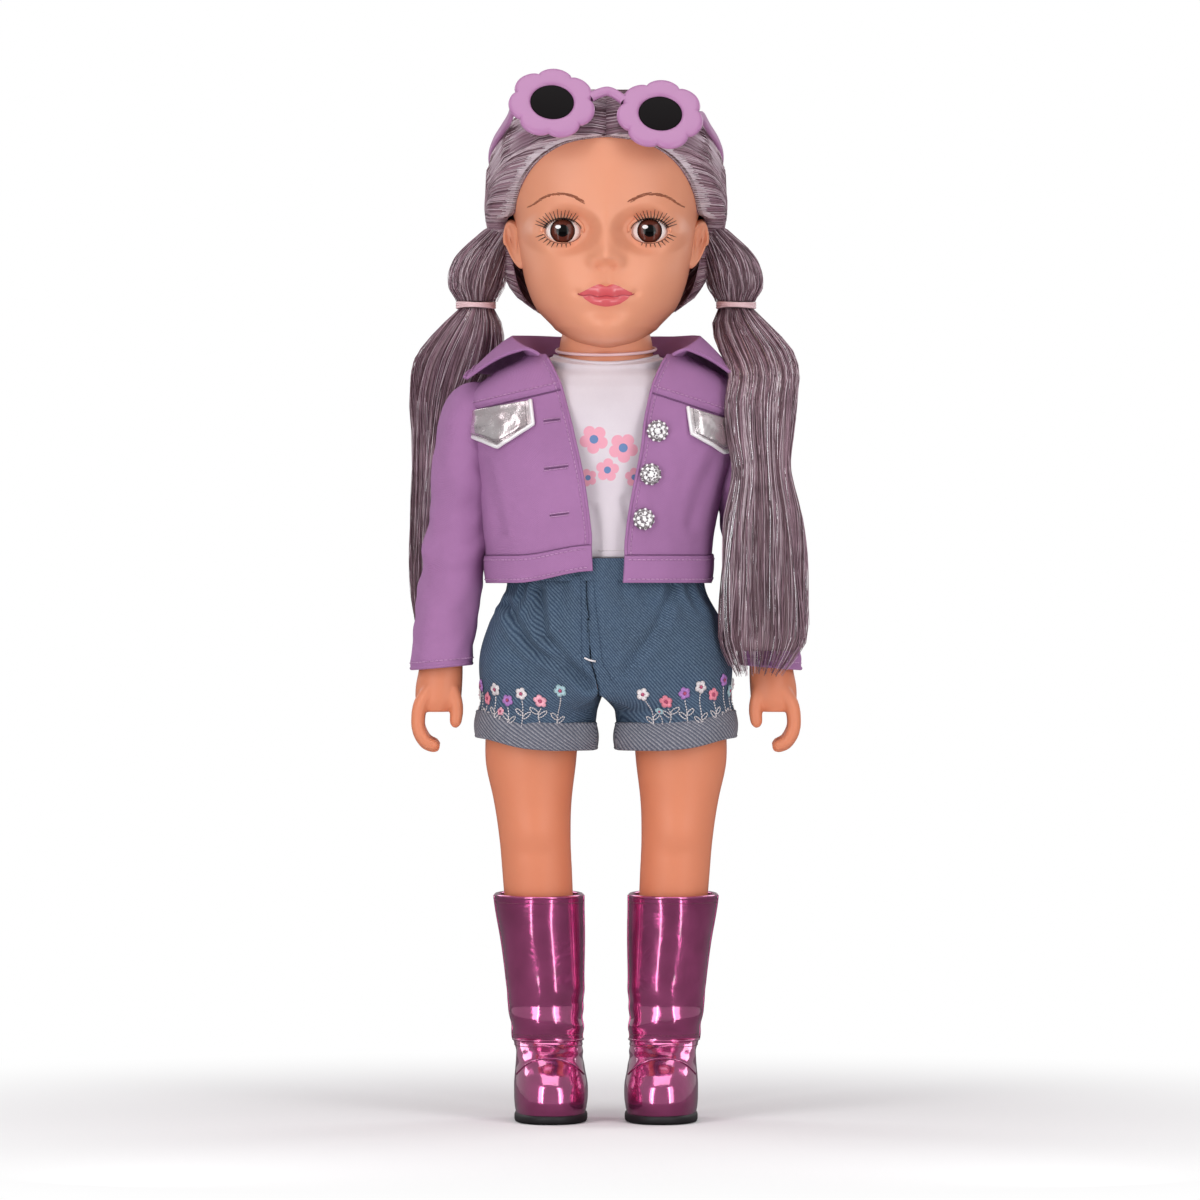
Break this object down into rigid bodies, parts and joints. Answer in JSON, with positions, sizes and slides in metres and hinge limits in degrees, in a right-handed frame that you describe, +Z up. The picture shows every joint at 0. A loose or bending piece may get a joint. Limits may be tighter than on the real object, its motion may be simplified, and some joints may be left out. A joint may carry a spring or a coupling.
{
  "type": "vinyl play doll",
  "caption": "18-inch vinyl play doll with lilac hair in low bunches, flower sunglasses, cropped purple jacket, tee, embroidered denim shorts and metallic boots.",
  "frame": {"origin": "middle of the ground footprint, under the soles", "axes": "+Z up from soles to crown, the doll looks along -Y, its own left side is at +X"},
  "size_m": [0.1752, 0.1163, 0.4679],
  "materials": {
    "skin": "smooth matt vinyl, slight sheen",
    "eye": "glossy, white with a brown iris and a black pupil",
    "inner": "plain moulded",
    "lash": "fine bristles",
    "hair": "silky fibre, silver lilac with bright strands",
    "elastic": "thin clear pink elastic",
    "frame": "glossy opaque lilac pink",
    "lens": "glossy near black",
    "tee": "fine white jersey with faded pink flowers",
    "jacket": "matt cotton twill, purple",
    "foil": "silver metallic leatherette",
    "gem": "cut clear lilac stones",
    "denim": "blue denim twill, embroidered band",
    "cuff": "pale wrong side of denim",
    "boot": "pink purple metallic foil leatherette",
    "sole": "matt black"
  },
  "bodies": {
    "torso": {"torso_shell": "skin", "hip_rod": "inner", "tee": "tee", "jacket_body": "jacket", "jacket_collar": "jacket", "jacket_waistband": "jacket", "pocket_flap_left": "foil", "pocket_flap_right": "foil", "jacket_button_1": "gem", "jacket_button_2": "gem", "jacket_button_3": "gem", "shorts_left": "denim", "shorts_right": "denim", "shorts_waistband": "denim"},
    "head": {"head_shell": "skin", "hair_cap": "hair", "hair_bunch_left": "hair", "hair_bunch_right": "hair", "hair_elastic_left": "elastic", "hair_elastic_right": "elastic", "pigtail_left": "hair", "pigtail_right": "hair", "eye_cup_left": "inner", "eye_cup_right": "inner", "neck_elastic": "elastic"},
    "sunglasses": {"glasses_frame": "frame", "lens_left": "lens", "lens_right": "lens"},
    "arm_left": {"arm_left": "skin", "sleeve_left": "jacket"},
    "leg_left": {"leg_left": "skin", "shorts_cuff_left": "cuff", "boot_shaft_left": "boot", "boot_foot_left": "boot", "boot_sole_left": "sole"},
    "eye_left": {"eyeball_left": "eye", "eyelashes_left": "lash"},
    "arm_right": {"arm_right": "skin", "sleeve_right": "jacket"},
    "leg_right": {"leg_right": "skin", "shorts_cuff_right": "cuff", "boot_shaft_right": "boot", "boot_foot_right": "boot", "boot_sole_right": "sole"},
    "eye_right": {"eyeball_right": "eye", "eyelashes_right": "lash"}
  },
  "joints": [
    {"name": "head_turn", "type": "hinge", "parent": "torso", "child": "head", "pos_m": [0, 0, 0.335], "axis": [0, 0, 1], "range_deg": [-90, 90], "deforming": ["pigtail_left", "pigtail_right"]},
    {"name": "arm_left_swing", "type": "hinge", "parent": "torso", "child": "arm_left", "pos_m": [0.06, 0, 0.312], "axis": [-1, 0, 0], "range_deg": [-45, 120]},
    {"name": "leg_left_swing", "type": "hinge", "parent": "torso", "child": "leg_left", "pos_m": [0.03, 0, 0.206], "axis": [-1, 0, 0], "range_deg": [-20, 90], "deforming": ["shorts_left"]},
    {"name": "eye_left_sleep", "type": "hinge", "parent": "head", "child": "eye_left", "pos_m": [0.01925, -0.0297, 0.3952], "axis": [1, 0, 0], "range_deg": [0, 30]},
    {"name": "arm_right_swing", "type": "hinge", "parent": "torso", "child": "arm_right", "pos_m": [-0.06, 0, 0.312], "axis": [-1, 0, 0], "range_deg": [-45, 120]},
    {"name": "leg_right_swing", "type": "hinge", "parent": "torso", "child": "leg_right", "pos_m": [-0.03, 0, 0.206], "axis": [-1, 0, 0], "range_deg": [-20, 90], "deforming": ["shorts_right"]},
    {"name": "eye_right_sleep", "type": "hinge", "parent": "head", "child": "eye_right", "pos_m": [-0.01925, -0.0297, 0.3952], "axis": [1, 0, 0], "range_deg": [0, 30]},
    {"name": "sunglasses_lift", "type": "slide", "parent": "head", "child": "sunglasses", "axis": [0, 0, 1], "range_m": [0, 0.07]}
  ]
}
